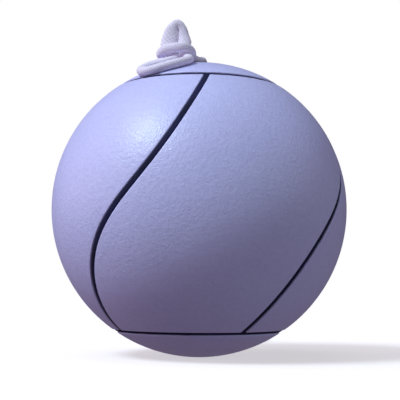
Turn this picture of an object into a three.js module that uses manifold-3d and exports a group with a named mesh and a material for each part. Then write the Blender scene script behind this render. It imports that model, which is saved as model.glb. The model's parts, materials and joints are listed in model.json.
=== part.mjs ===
// Recessed-cup tetherball with its tether cord, in millimetres, +Z up.
// The ball rests on its small flat contact patch at z = 0, with the tether cup at the top.
// The cord leaves the cup, is bundled on top of the ball, runs down the back (+Y) and lies coiled there.

import * as THREE from 'three';
import { mergeVertices } from 'three/addons/utils/BufferGeometryUtils.js';
import Module from 'manifold-3d';

const wasm = await Module();
wasm.setup();

const DEG = Math.PI / 180;
const GAP = 0.3;                    // clearance between pieces that touch

// Ball
const BALL_RADIUS = 108;            // 216 mm across
const PATCH_RADIUS = 9;             // flat contact patch at the bottom
const CENTRE_Z = Math.sqrt(BALL_RADIUS ** 2 - PATCH_RADIUS ** 2);
const PANEL_THICKNESS = 1.6;
const CARCASS_THICKNESS = 1.5;
const WINDING_THICKNESS = 0.7;
const BLADDER_THICKNESS = 0.9;
const CHANNEL_WIDTH = 4;            // black groove between two panels
const CHANNEL_DEPTH = 0.6;          // from the panels' faces to the rib that fills the groove
const RIB_CLEARANCE = 0.45;         // between a rib's side and a panel's edge
const RIB_ROOT = 1.3;               // the ribs start this far inside the carcass's outer face
const CAP_ANGLE = 34.4 * DEG;       // polar angle of the seam round each end panel
const SIDE_PANELS = 4;
const SHELL_SEGMENTS = 24;
const PANEL_ROWS = 14;
const PANEL_COLUMNS = 12;
const CAP_SEGMENTS = 40;
const CAP_RINGS = 5;
const CUT_INSIDE = 30;              // the holes through the shells are cut from this far inside the ball
const CUT_OUTSIDE = 10;             // to this far outside it

// S-shaped seam between two side panels: longitude as a function of latitude
const SEAM_START = -28.3 * DEG;     // longitude of the first seam at the equator, from -Y towards +X
const SEAM_LEAN = 0.454;            // steady lean, radians of longitude per radian of latitude
const SEAM_SWING = 7.9 * DEG;       // extra swing in the middle of the S
const SEAM_SWING_LATITUDE = 18 * DEG;

// Tether cup and bar
const CUP_RADIUS = 17;
const CUP_WALL = 3;
const CUP_DEPTH = 25;
const CUP_FLOOR = 2.5;
const CUP_RIM_Z = CENTRE_Z + Math.sqrt(BALL_RADIUS ** 2 - CUP_RADIUS ** 2) - 0.1;
const CUP_HOLE_RADIUS = CUP_RADIUS + 0.4;
const CUP_POCKET = 1;               // clearance round the cup in the bladder's pocket
const BAR_RADIUS = 2.5;
const BAR_LENGTH = 2 * (CUP_RADIUS - 0.5);
const BAR_Z = CUP_RIM_Z - 11;

// Valve, in the middle of the right-hand side panel
const VALVE_LONGITUDE = 107 * DEG;
const VALVE_HEAD_RADIUS = 6;
const VALVE_BOOT_RADIUS = 4.6;
const VALVE_PLUG_RADIUS = 2.6;
const VALVE_LENGTH = 13;
const VALVE_BOOT_DROP = 2.8;        // boot's outer end below the ball's surface
const VALVE_HEAD_DROP = 0.4;
const VALVE_HEAD_THICKNESS = 2;
const NEEDLE_RADIUS = 0.8;

// Cord
const CORD_RADIUS = 4;
const CORD_SIDES = 10;
const LIE = BALL_RADIUS + CORD_RADIUS + 0.8;   // radius at which the cord lies on the ball
const FLOOR_Z = CORD_RADIUS + 0.1;             // height of a cord that lies on the ground
const BUNDLE_LIFT = 0.7;                       // clearance under the bundled cord

// Coil of the stored length
const COIL_CENTRE = [0, 204];
const COIL_BASE = 1.6;              // the ties pass under the turns
const COIL_INNER = 33;
const COIL_OUTER = 57;
const COIL_HEIGHT = 16;
const COIL_EDGE = 2.6;              // bevel round the outer edges of the coil
const TIE_WIDTH = 12;
const TIE_THICKNESS = 1.2;
const TIE_ANGLES = [150 * DEG, 330 * DEG];

// Far end: the cord is doubled through the snap's eye and clamped in a ferrule
const FERRULE_X = [20, 33];
const FERRULE_WALL = 1.2;
const LEG_SPACING = 8.6;            // between the two legs of the doubled cord
const END_Y = 278;                  // line on which the snap lies
const LEG_Z = 5.7;
const LOOP_RADIUS = 8;
const LOOP_SLANT = LOOP_RADIUS * Math.SQRT1_2;
const LOOP_Z = 9.4;

// Swivel bolt snap; u runs from the ring to the hook, w is up, in the snap's own frame
const RING_RADIUS = 9;
const RING_WIRE = 2;
const SHANK_RADIUS = 2.1;
const HEAD_RADIUS = 3.7;
const HEAD_END = 19;
const CHAMBER = [16, 22.6];         // space in the barrel for the swivel's head
const BARREL_RADIUS = 5.5;
const BARREL = [13, 44];
const SNAP_BORE = 2.6;
const SPRING_SEAT = 24.6;           // bottom of the bolt's bore
const SPRING_RADII = [1.6, 2.3];
const BOLT_RADIUS = 2.2;
const BOLT = [36, 60.3];
const STUD_U = 41;
const STUD_RADIUS = 1.2;
const STUD_HEIGHT = 7.6;
const KNOB_RADIUS = 2.8;
const KNOB_W = [6, 8.2];
const SLOT = [31, 42.6];
const SLOT_HALF_WIDTH = 1.6;
const ARM_RADIUS = 2.3;
const NOSE_END = 67;
const SNAP_ORIGIN = [-1.5, END_Y, 11.1];
const SNAP_TILT = Math.atan2(RING_RADIUS + RING_WIRE - BARREL_RADIUS, BARREL[1]);

const COLOURS = {
  panel: { color: 0xd3d6f2, roughness: 0.5, metalness: 0 },
  carcass: { color: 0x1b1a22, roughness: 0.7, metalness: 0 },
  inner: { color: 0x37343c, roughness: 0.8, metalness: 0 },
  winding: { color: 0xcfc6b0, roughness: 0.9, metalness: 0 },
  cup: { color: 0x24232b, roughness: 0.6, metalness: 0 },
  steel: { color: 0xb9bcc4, roughness: 0.3, metalness: 1 },
  cord: { color: 0xeceaf6, roughness: 0.9, metalness: 0 },
  tie: { color: 0x2a2a30, roughness: 0.9, metalness: 0 },
};

const group = new THREE.Group();

// Adds one named piece to a parent group.
function add(name, geometry, colour, parent = group) {
  const mesh = new THREE.Mesh(geometry, new THREE.MeshStandardMaterial(COLOURS[colour]));
  mesh.name = name;
  parent.add(mesh);
  return mesh;
}

// Signed volume of an indexed mesh: positive when its faces point out.
function volume(points, index) {
  let total = 0;
  for (let i = 0; i < index.length; i += 3) {
    const [a, b, c] = [0, 1, 2].map((k) => new THREE.Vector3().fromArray(points, 3 * index[i + k]));
    total += a.dot(b.cross(c)) / 6;
  }
  return total;
}

// Merges a geometry's shared vertices, drops the slivers on a lathe's axis and turns its faces outwards.
function tidy(geometry) {
  let plain = geometry.clone();
  for (const name of Object.keys(plain.attributes)) {
    if (name !== 'position') plain.deleteAttribute(name);
  }
  plain = mergeVertices(plain, 1e-4);
  const source = plain.index.array;
  const index = [];
  for (let i = 0; i < source.length; i += 3) {
    const [a, b, c] = [source[i], source[i + 1], source[i + 2]];
    if (a !== b && b !== c && c !== a) index.push(a, b, c);
  }
  if (volume(plain.attributes.position.array, index) < 0) index.reverse();
  plain.setIndex(index);
  return plain;
}

// A boolean solid from a closed geometry, moved by an optional matrix.
function solid(geometry, matrix = new THREE.Matrix4()) {
  const mesh = tidy(geometry.clone().applyMatrix4(matrix));
  return new wasm.Manifold(new wasm.Mesh({
    numProp: 3,
    vertProperties: Float32Array.from(mesh.attributes.position.array),
    triVerts: Uint32Array.from(mesh.index.array),
  }));
}

function fromSolid(body) {
  const mesh = body.getMesh();
  const geometry = new THREE.BufferGeometry();
  geometry.setAttribute('position', new THREE.BufferAttribute(mesh.vertProperties.slice(), 3));
  geometry.setIndex(new THREE.BufferAttribute(mesh.triVerts.slice(), 1));
  return geometry;
}

function joined(bodies) {
  return bodies.reduce((sum, body) => sum.add(body));
}

// Unit vector at a longitude (from -Y towards +X) and a latitude.
function direction(longitude, latitude = 0) {
  return new THREE.Vector3(
    Math.sin(longitude) * Math.cos(latitude),
    -Math.cos(longitude) * Math.cos(latitude),
    Math.sin(latitude),
  );
}

const centre = new THREE.Vector3(0, 0, CENTRE_Z);
const toCentre = new THREE.Matrix4().setPosition(centre);
const standUp = new THREE.Matrix4().makeRotationX(Math.PI / 2);

// Matrix that takes +Y to a direction and the origin to a place.
function along(axis, place = new THREE.Vector3()) {
  const turn = new THREE.Quaternion().setFromUnitVectors(new THREE.Vector3(0, 1, 0), axis);
  return new THREE.Matrix4().compose(place, turn, new THREE.Vector3(1, 1, 1));
}

// A cylinder between two distances along an axis.
function rod(radius, from, to, axis, origin = new THREE.Vector3(), sides = 20) {
  const geometry = new THREE.CylinderGeometry(radius, radius, to - from, sides);
  const middle = origin.clone().addScaledVector(axis, (from + to) / 2);
  return geometry.applyMatrix4(along(axis, middle));
}

function box(low, high) {
  const size = high.map((value, i) => value - low[i]);
  const geometry = new THREE.BoxGeometry(...size);
  return geometry.translate(...low.map((value, i) => value + size[i] / 2));
}

// A lathe about +Z through a centre; the profile is [radius, height] pairs.
function lathe(profile, segments, matrix = new THREE.Matrix4()) {
  const points = profile.map(([radius, height]) => new THREE.Vector2(radius, height));
  const geometry = new THREE.LatheGeometry(points, segments);
  return tidy(geometry.applyMatrix4(new THREE.Matrix4().multiplyMatrices(matrix, standUp)));
}

// A round tube along a curve.
function tube(curve, radius, steps, sides = CORD_SIDES) {
  const section = new THREE.Shape();
  for (let i = 0; i < sides; i += 1) {
    const angle = (2 * Math.PI * (i + 0.5)) / sides;
    const point = [radius * Math.cos(angle), radius * Math.sin(angle)];
    if (i === 0) section.moveTo(...point);
    else section.lineTo(...point);
  }
  section.closePath();
  return tidy(new THREE.ExtrudeGeometry(section, { steps, bevelEnabled: false, extrudePath: curve }));
}

function spline(points) {
  return new THREE.CatmullRomCurve3(points.map((p) => new THREE.Vector3(...p)), false, 'centripetal');
}

// ---------------------------------------------------------------- ball

function sphere(radius, segments = SHELL_SEGMENTS) {
  const geometry = new THREE.SphereGeometry(radius, segments, segments / 2);
  return solid(geometry, new THREE.Matrix4().multiplyMatrices(toCentre, standUp));
}

const up = new THREE.Vector3(0, 0, 1);
const valveAxis = direction(VALVE_LONGITUDE);
const cupCut = [CUP_RIM_Z - CUT_INSIDE, CUP_RIM_Z + CUT_OUTSIDE];
const cupHole = solid(rod(CUP_HOLE_RADIUS, ...cupCut, up, undefined, 32));

function valveHole(radius) {
  return solid(rod(radius + GAP, BALL_RADIUS - CUT_INSIDE, BALL_RADIUS + CUT_OUTSIDE, valveAxis, centre));
}

// A hollow layer of the ball, opened for the cup and the valve.
function layer(outer, thickness, holeRadius) {
  const shell = sphere(outer).subtract(sphere(outer - thickness));
  return shell.subtract(cupHole).subtract(valveHole(holeRadius));
}

const carcassOuter = BALL_RADIUS - PANEL_THICKNESS - GAP;
const windingOuter = carcassOuter - CARCASS_THICKNESS - GAP;
const bladderOuter = windingOuter - WINDING_THICKNESS - GAP;

add('winding_layer', fromSolid(layer(windingOuter, WINDING_THICKNESS, VALVE_BOOT_RADIUS)), 'winding');

// The bladder is dented by the cup: a sphere less a pocket, hollowed by the same shape one wall smaller.
function bladderForm(inset) {
  const clearance = CUP_POCKET + inset;
  const bottom = CUP_RIM_Z - CUP_DEPTH - clearance;
  const pocket = rod(CUP_RADIUS + clearance, bottom, CUP_RIM_Z + CUT_OUTSIDE, up, undefined, 24);
  return sphere(bladderOuter - inset).subtract(solid(pocket));
}

const bladder = bladderForm(0).subtract(bladderForm(BLADDER_THICKNESS));
add('bladder', fromSolid(bladder.subtract(valveHole(VALVE_BOOT_RADIUS))), 'inner');

// Longitude of a side seam at a latitude.
function seam(latitude) {
  return SEAM_START + SEAM_LEAN * latitude + SEAM_SWING * Math.tanh(latitude / SEAM_SWING_LATITUDE);
}

// Longitude that a width square to the slanting seam takes up beside it.
function besideSeam(width, latitude) {
  const swing = SEAM_SWING / SEAM_SWING_LATITUDE / Math.cosh(latitude / SEAM_SWING_LATITUDE) ** 2;
  const slope = (SEAM_LEAN + swing) * Math.cos(latitude);
  return (width / BALL_RADIUS / Math.cos(latitude)) * Math.hypot(1, slope);
}

const edgeAngle = CHANNEL_WIDTH / 2 / BALL_RADIUS;
const sideLatitude = Math.PI / 2 - CAP_ANGLE - edgeAngle;
// The panels' inner faces are flat facets outside the sphere that they clear. They come nearest to it at
// a facet's middle, half a facet's diagonal from its corners.
const facetAngle = (2 * sideLatitude) / PANEL_ROWS;
const panelInner = (BALL_RADIUS - PANEL_THICKNESS) / Math.cos(facetAngle * Math.SQRT1_2);

// A patch of shell between two longitudes, both functions of latitude, and closed round its edges.
function patch(left, right, outer, inner, columns) {
  const positions = [];
  const index = [];
  const width = columns + 1;
  const count = width * (PANEL_ROWS + 1);
  for (const radius of [outer, inner]) {
    for (let row = 0; row <= PANEL_ROWS; row += 1) {
      const latitude = sideLatitude * ((2 * row) / PANEL_ROWS - 1);
      const [from, to] = [left(latitude), right(latitude)];
      for (let column = 0; column <= columns; column += 1) {
        const longitude = from + ((to - from) * column) / columns;
        const point = direction(longitude, latitude).multiplyScalar(radius).add(centre);
        positions.push(...point.toArray());
      }
    }
  }
  const quad = (a, b, c, d) => index.push(a, b, c, a, c, d);
  for (let row = 0; row < PANEL_ROWS; row += 1) {
    for (let column = 0; column < columns; column += 1) {
      const a = row * width + column;
      quad(a, a + 1, a + width + 1, a + width);
      quad(count + a, count + a + width, count + a + width + 1, count + a + 1);
    }
    const first = row * width;
    const last = first + columns;
    quad(first, first + width, count + first + width, count + first);
    quad(last, count + last, count + last + width, last + width);
  }
  for (let column = 0; column < columns; column += 1) {
    const top = PANEL_ROWS * width + column;
    quad(column, count + column, count + column + 1, column + 1);
    quad(top, top + 1, count + top + 1, count + top);
  }
  const geometry = new THREE.BufferGeometry();
  geometry.setAttribute('position', new THREE.Float32BufferAttribute(positions, 3));
  geometry.setIndex(index);
  return tidy(geometry);
}

const quarter = (2 * Math.PI) / SIDE_PANELS;

// A side panel between two seams, set in from both by half a channel.
function sidePanel(turn) {
  const left = (latitude) => turn + seam(latitude) + besideSeam(CHANNEL_WIDTH / 2, latitude);
  const right = (latitude) => turn + quarter + seam(latitude) - besideSeam(CHANNEL_WIDTH / 2, latitude);
  return patch(left, right, BALL_RADIUS, panelInner, PANEL_COLUMNS);
}

// Black ribs of the carcass, which fill the channels nearly flush: one under each side seam and a ring
// round each end panel.
const ribOuter = BALL_RADIUS - CHANNEL_DEPTH;
const ribInner = carcassOuter - RIB_ROOT;
const ribHalfWidth = CHANNEL_WIDTH / 2 - RIB_CLEARANCE;

function sideRib(turn) {
  const left = (latitude) => turn + seam(latitude) - besideSeam(ribHalfWidth, latitude);
  const right = (latitude) => turn + seam(latitude) + besideSeam(ribHalfWidth, latitude);
  return solid(patch(left, right, ribOuter, ribInner, 1));
}

function ringRib(angle) {
  const reach = ribHalfWidth / BALL_RADIUS;
  const corner = (radius, side) => [radius * Math.sin(angle + side), radius * Math.cos(angle + side)];
  const profile = [
    corner(ribInner, -reach), corner(ribOuter, -reach), corner(ribOuter, reach), corner(ribInner, reach),
    corner(ribInner, -reach),
  ];
  return solid(lathe(profile, CAP_SEGMENTS, toCentre));
}

const ribs = [ringRib(CAP_ANGLE), ringRib(Math.PI - CAP_ANGLE)];
for (let k = 0; k < SIDE_PANELS; k += 1) ribs.push(sideRib(k * quarter));
const carcass = joined([layer(carcassOuter, CARCASS_THICKNESS, VALVE_BOOT_RADIUS), ...ribs]);
add('carcass', fromSolid(carcass), 'carcass');

const VALVE_PANEL = 1;
for (let k = 0; k < SIDE_PANELS; k += 1) {
  let panel = sidePanel(k * quarter);
  if (k === VALVE_PANEL) panel = fromSolid(solid(panel).subtract(valveHole(VALVE_HEAD_RADIUS)));
  add(`side_panel_${k + 1}`, panel, 'panel');
}

// Profile of an end panel from one polar angle to another, for the lathe.
function capProfile(from, to) {
  const outer = [];
  const inner = [];
  for (let ring = 0; ring <= CAP_RINGS; ring += 1) {
    const angle = from + ((to - from) * ring) / CAP_RINGS;
    outer.push([BALL_RADIUS * Math.sin(angle), BALL_RADIUS * Math.cos(angle)]);
    inner.unshift([panelInner * Math.sin(angle), panelInner * Math.cos(angle)]);
  }
  return [outer, inner];
}

const capEdge = CAP_ANGLE - edgeAngle;
const [topOuter, topInner] = capProfile(Math.asin(CUP_HOLE_RADIUS / BALL_RADIUS), capEdge);
add('cap_panel_top', lathe([...topOuter, ...topInner, topOuter[0]], CAP_SEGMENTS, toCentre), 'panel');

const upsideDown = new THREE.Matrix4().makeRotationX(Math.PI);
const [bottomOuter, bottomInner] = capProfile(Math.asin(PATCH_RADIUS / BALL_RADIUS), capEdge);
const bottomProfile = [[0, CENTRE_Z], ...bottomOuter, ...bottomInner, [0, panelInner]];
const bottomMatrix = new THREE.Matrix4().multiplyMatrices(toCentre, upsideDown);
add('cap_panel_bottom', lathe(bottomProfile, CAP_SEGMENTS, bottomMatrix), 'panel');

// ---------------------------------------------------------------- tether cup, bar and eye

const cupFloorZ = CUP_RIM_Z - CUP_DEPTH;
const cupInner = CUP_RADIUS - CUP_WALL;
const cupProfile = [
  [0, cupFloorZ], [CUP_RADIUS - 1, cupFloorZ], [CUP_RADIUS, cupFloorZ + 1], [CUP_RADIUS, CUP_RIM_Z],
  [cupInner + 1, CUP_RIM_Z], [cupInner, CUP_RIM_Z - 1], [cupInner, cupFloorZ + CUP_FLOOR],
  [0, cupFloorZ + CUP_FLOOR],
];
const acrossBall = new THREE.Vector3(1, 0, 0);
const barPlace = new THREE.Vector3(0, 0, BAR_Z);
const barHole = solid(rod(BAR_RADIUS + GAP, -BAR_LENGTH, BAR_LENGTH, acrossBall, barPlace, 16));
add('tether_cup', fromSolid(solid(lathe(cupProfile, 32)).subtract(barHole)), 'cup');
add('tether_bar', rod(BAR_RADIUS, -BAR_LENGTH / 2, BAR_LENGTH / 2, acrossBall, barPlace, 16), 'steel');

const eyeRadius = BAR_RADIUS + GAP + CORD_RADIUS;
const eye = new THREE.TorusGeometry(eyeRadius, CORD_RADIUS, 8, 18).rotateY(Math.PI / 2);
add('tether_eye', tidy(eye.translate(0, 0, BAR_Z)), 'cord');

// ---------------------------------------------------------------- valve

const bootTop = BALL_RADIUS - VALVE_BOOT_DROP;
const valveEnd = BALL_RADIUS - VALVE_LENGTH;
const bootProfile = [
  [VALVE_PLUG_RADIUS + GAP, bootTop], [VALVE_BOOT_RADIUS, bootTop], [VALVE_BOOT_RADIUS, valveEnd],
  [VALVE_PLUG_RADIUS + GAP, valveEnd],
];
const valveTurn = along(valveAxis, centre);
const lieDown = new THREE.Matrix4().makeRotationX(-Math.PI / 2);
const valveMatrix = new THREE.Matrix4().multiplyMatrices(valveTurn, lieDown);
add('valve_boot', lathe([...bootProfile, bootProfile[0]], 16, valveMatrix), 'inner');

const headTop = BALL_RADIUS - VALVE_HEAD_DROP;
const headBottom = headTop - VALVE_HEAD_THICKNESS;
const plugProfile = [
  [NEEDLE_RADIUS, headTop], [VALVE_HEAD_RADIUS - 0.5, headTop], [VALVE_HEAD_RADIUS, headTop - 0.5],
  [VALVE_HEAD_RADIUS, headBottom + 0.6], [VALVE_PLUG_RADIUS, headBottom],
  [VALVE_PLUG_RADIUS, valveEnd], [NEEDLE_RADIUS, valveEnd],
];
add('valve_plug', lathe([...plugProfile, plugProfile[0]], 16, valveMatrix), 'carcass');

// ---------------------------------------------------------------- cord on the ball

// An ellipsoid given by its centre and its half sizes.
function ellipsoid(place, half) {
  const matrix = new THREE.Matrix4().makeScale(...half).setPosition(...place);
  return solid(new THREE.SphereGeometry(1, 14, 8), new THREE.Matrix4().multiplyMatrices(matrix, standUp));
}

// Outer shape of the bundled cord: upright bight, band round its foot, loops lying on the ball.
const bundle = joined([
  ellipsoid([-17, -22, 224], [10.5, 7, 21]),
  ellipsoid([-17, -23, 218], [14.5, 13, 5.5]),
  ellipsoid([-18, -29, 210], [20, 21.5, 8]),
  ellipsoid([-34, -40.5, 202], [12, 13.5, 8]),
  ellipsoid([-4, -9, 215.5], [9.2, 10, 5.5]),
  ellipsoid([-13, -5, 216.5], [8, 9.5, 6]),
]).subtract(sphere(BALL_RADIUS + BUNDLE_LIFT, 32));
add('cord_bundle', fromSolid(bundle), 'cord');

// Centreline height of a cord that lies on the upper half of the ball.
function onBall(x, y) {
  return [x, y, CENTRE_Z + Math.sqrt(LIE ** 2 - x ** 2 - y ** 2)];
}

// Over the back of the ball, straight down and round to the coil.
const RUN = [
  onBall(-13, 6), onBall(-15, 18), onBall(-17, 32), onBall(-18, 48), onBall(-19, 64), onBall(-20, 80),
  onBall(-20, 93), onBall(-20, 103), onBall(-20, 109), [-20, 111.2, 107], [-20, 111.6, 86],
  [-20, 111.6, 62], [-20, 111.6, 40], [-20, 112, 24], [-20, 117.5, 10], [-20, 130, FLOOR_Z],
  [-18, 138, 4.6], [-14.5, 144.8, 5.4],
];
add('cord_run', tube(spline(RUN), CORD_RADIUS, 24), 'cord');

// ---------------------------------------------------------------- coil and ties

const coilRing = [
  [COIL_INNER, 0], [COIL_INNER + COIL_EDGE, 0], [COIL_OUTER - COIL_EDGE, 0], [COIL_OUTER, COIL_EDGE],
  [COIL_OUTER, COIL_HEIGHT - COIL_EDGE], [COIL_OUTER - COIL_EDGE, COIL_HEIGHT],
  [COIL_INNER, COIL_HEIGHT], [COIL_INNER, 0],
];
const coilPlace = new THREE.Matrix4().setPosition(...COIL_CENTRE, COIL_BASE);
const lastTurn = COIL_OUTER - CORD_RADIUS;
const topTurnZ = COIL_BASE + COIL_HEIGHT - CORD_RADIUS;
const leaving = spline([
  [lastTurn, COIL_CENTRE[1] + 2, topTurnZ - 0.2], [lastTurn, COIL_CENTRE[1] + 14, topTurnZ - 0.3],
  [lastTurn, COIL_CENTRE[1] + 28, topTurnZ - 0.8],
]);
const coil = solid(lathe(coilRing, 40, coilPlace)).add(solid(tube(leaving, CORD_RADIUS, 3)));
add('cord_coil', fromSolid(coil), 'cord');

// A strap round the coil's section, at an angle round the coil. It is straight, and the turns are curved.
function tie(angle) {
  const inside = Math.sqrt(COIL_INNER ** 2 - (TIE_WIDTH / 2) ** 2) - GAP;
  // Rectangle round the turns' section, grown by a margin.
  const outline = (margin) => {
    const [low, high] = [inside - margin, COIL_OUTER + GAP + margin];
    const [bottom, top] = [-GAP - margin, COIL_HEIGHT + GAP + margin];
    return [[low, bottom], [high, bottom], [high, top], [low, top]].map((p) => new THREE.Vector2(...p));
  };
  const shape = new THREE.Shape(outline(TIE_THICKNESS));
  shape.holes.push(new THREE.Path(outline(0)));
  const geometry = new THREE.ExtrudeGeometry(shape, { depth: TIE_WIDTH, bevelEnabled: false });
  geometry.translate(0, 0, -TIE_WIDTH / 2).rotateX(Math.PI / 2).rotateZ(angle);
  return tidy(geometry.translate(...COIL_CENTRE, COIL_BASE));
}

TIE_ANGLES.forEach((angle, i) => add(`coil_tie_${i + 1}`, tie(angle), 'tie'));

// ---------------------------------------------------------------- far end of the cord

const nearLegY = END_Y - LEG_SPACING / 2;
const farLegY = END_Y + LEG_SPACING / 2;
const TAIL = [
  [53, 232.8, 12.7], [53, 240, 11], [53, 248, 7.6], [52, 256, 5.2], [48.6, 265, 4.6], [43.4, 271, 5.1],
  [38, nearLegY - 0.1, 5.6], [34.8, nearLegY, LEG_Z],
];
add('cord_tail', tube(spline(TAIL), CORD_RADIUS, 14), 'cord');

const loopCentreX = SNAP_ORIGIN[0] + 2 + LOOP_RADIUS;
const END_LOOP = [
  [34.3, nearLegY, LEG_Z], [26, nearLegY, LEG_Z], [19, nearLegY, LEG_Z],
  [loopCentreX, END_Y - LOOP_RADIUS, LOOP_Z], [loopCentreX - LOOP_SLANT, END_Y - LOOP_SLANT, LOOP_Z],
  [loopCentreX - LOOP_RADIUS, END_Y, LOOP_Z], [loopCentreX - LOOP_SLANT, END_Y + LOOP_SLANT, LOOP_Z],
  [loopCentreX, END_Y + LOOP_RADIUS, LOOP_Z], [19, farLegY, LEG_Z], [26, farLegY, LEG_Z],
  [34.3, farLegY, LEG_Z],
];
add('end_loop', tube(spline(END_LOOP), CORD_RADIUS, 32), 'cord');

// Stadium outline round the two legs, in the Y-Z plane.
function stadium(radius, path) {
  path.absarc(LEG_SPACING / 2, 0, radius, -Math.PI / 2, Math.PI / 2, false);
  path.absarc(-LEG_SPACING / 2, 0, radius, Math.PI / 2, (3 * Math.PI) / 2, false);
  return path;
}

const sleeve = stadium(CORD_RADIUS + GAP + FERRULE_WALL, new THREE.Shape());
sleeve.holes.push(stadium(CORD_RADIUS + GAP, new THREE.Path()));
const ferrule = new THREE.ExtrudeGeometry(sleeve, {
  depth: FERRULE_X[1] - FERRULE_X[0], bevelEnabled: false, curveSegments: 10,
});
ferrule.rotateX(Math.PI / 2).rotateZ(Math.PI / 2).translate(FERRULE_X[0], END_Y, LEG_Z);
add('end_ferrule', tidy(ferrule), 'steel');

// ---------------------------------------------------------------- swivel bolt snap

const snap = new THREE.Group();
const uAxis = new THREE.Vector3(-Math.cos(SNAP_TILT), 0, -Math.sin(SNAP_TILT));
const vAxis = new THREE.Vector3(0, -1, 0);
const wAxis = new THREE.Vector3().crossVectors(uAxis, vAxis);
snap.quaternion.setFromRotationMatrix(new THREE.Matrix4().makeBasis(uAxis, vAxis, wAxis));
snap.position.set(...SNAP_ORIGIN);
group.add(snap);

const U = new THREE.Vector3(1, 0, 0);
const W = new THREE.Vector3(0, 0, 1);

const ring = new THREE.TorusGeometry(RING_RADIUS, RING_WIRE, 8, 28).rotateX(Math.PI / 2);
const swivel = joined([
  solid(ring),
  solid(rod(SHANK_RADIUS, RING_RADIUS, CHAMBER[0] + 1, U)),
  solid(rod(HEAD_RADIUS, CHAMBER[0] + GAP, HEAD_END, U)),
]);
add('snap_swivel', fromSolid(swivel), 'steel', snap);

const ARM = [
  [39, -2.5, 0], [44, -7, 0], [50, -11, 0], [57, -12.5, 0], [63, -11, 0], [67, -7, 0], [67.6, -2.5, 0],
  [66.2, 0, 0],
];
const snapBody = joined([
  solid(rod(BARREL_RADIUS, ...BARREL, U)),
  solid(tube(spline(ARM), ARM_RADIUS, 20)),
  solid(rod(ARM_RADIUS, BOLT[1] + GAP, NOSE_END, U, undefined, 16)),
])
  .subtract(solid(rod(SNAP_BORE, BARREL[0] - 1, CHAMBER[0] + 1, U)))
  .subtract(solid(rod(HEAD_RADIUS + GAP, ...CHAMBER, U)))
  .subtract(solid(rod(SNAP_BORE, SPRING_SEAT, BARREL[1] + 1, U)))
  .subtract(solid(box([SLOT[0], -SLOT_HALF_WIDTH, 0], [SLOT[1], SLOT_HALF_WIDTH, BARREL_RADIUS + 1])));
add('snap_body', fromSolid(snapBody), 'steel', snap);

const studFoot = new THREE.Vector3(STUD_U, 0, 0);
const bolt = joined([
  solid(rod(BOLT_RADIUS, ...BOLT, U)),
  solid(rod(STUD_RADIUS, 0, STUD_HEIGHT, W, studFoot)),
  solid(rod(KNOB_RADIUS, ...KNOB_W, W, studFoot)),
]);
add('snap_bolt', fromSolid(bolt), 'steel', snap);

const [springLow, springHigh] = [SPRING_SEAT + GAP, BOLT[0] - GAP];
const springProfile = [
  [SPRING_RADII[0], springLow], [SPRING_RADII[1], springLow], [SPRING_RADII[1], springHigh],
  [SPRING_RADII[0], springHigh], [SPRING_RADII[0], springLow],
];
const alongU = new THREE.Matrix4().makeRotationY(Math.PI / 2);
add('snap_spring', lathe(springProfile, 16, alongU), 'steel', snap);

export default group;
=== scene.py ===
"""Recessed-cup tetherball with its tether cord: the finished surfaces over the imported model."""

import json
import math

import bpy
import numpy as np
from mathutils import Matrix, Vector


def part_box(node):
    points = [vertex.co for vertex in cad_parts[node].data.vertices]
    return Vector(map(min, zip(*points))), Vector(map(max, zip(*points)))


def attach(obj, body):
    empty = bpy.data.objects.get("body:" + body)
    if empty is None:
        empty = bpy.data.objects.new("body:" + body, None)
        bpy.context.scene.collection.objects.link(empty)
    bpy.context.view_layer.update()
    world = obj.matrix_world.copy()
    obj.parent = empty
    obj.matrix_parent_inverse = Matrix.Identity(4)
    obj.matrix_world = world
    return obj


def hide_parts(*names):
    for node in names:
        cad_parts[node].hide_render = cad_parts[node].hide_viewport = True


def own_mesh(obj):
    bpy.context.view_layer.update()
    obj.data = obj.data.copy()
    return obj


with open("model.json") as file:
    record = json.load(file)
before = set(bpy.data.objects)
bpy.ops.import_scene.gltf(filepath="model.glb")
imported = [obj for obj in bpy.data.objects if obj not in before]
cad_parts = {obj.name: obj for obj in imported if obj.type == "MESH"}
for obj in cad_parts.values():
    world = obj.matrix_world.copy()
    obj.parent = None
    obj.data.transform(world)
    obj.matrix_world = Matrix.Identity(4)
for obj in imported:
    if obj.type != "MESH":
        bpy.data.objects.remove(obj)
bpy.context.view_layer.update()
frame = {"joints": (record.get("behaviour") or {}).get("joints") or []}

MM = 0.001
BALL = 108 * MM                     # radius of the ball
PATCH = 9 * MM                      # radius of the flat patch that it rests on
CENTRE = np.array([0.0, 0.0, math.sqrt(BALL**2 - PATCH**2)])


# ---------------------------------------------------------------- camera

VIEW_DISTANCE = 0.702               # metres from the ball's centre
VIEW_LIFT = math.radians(-4.6)      # the camera stands a little below the ball's centre
VIEW_ROLL = math.radians(0.32)
AIM = Vector((0.0006, 0, CENTRE[2] + 0.007))
FOCAL_MM = 85.3


def make_camera():
    camera = bpy.data.objects.new("camera", bpy.data.cameras.new("camera"))
    bpy.context.scene.collection.objects.link(camera)
    camera.data.lens = FOCAL_MM
    camera.data.sensor_width = 36
    camera.data.clip_start = 0.01
    away = Vector((0, -math.cos(VIEW_LIFT), math.sin(VIEW_LIFT)))
    place = Vector(CENTRE) + VIEW_DISTANCE * away
    turn = (AIM - place).to_track_quat("-Z", "Y").to_matrix().to_4x4()
    camera.matrix_world = Matrix.Translation(place) @ turn @ Matrix.Rotation(VIEW_ROLL, 4, "Z")
    bpy.context.scene.camera = camera


make_camera()


# ---------------------------------------------------------------- mesh tools

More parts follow.
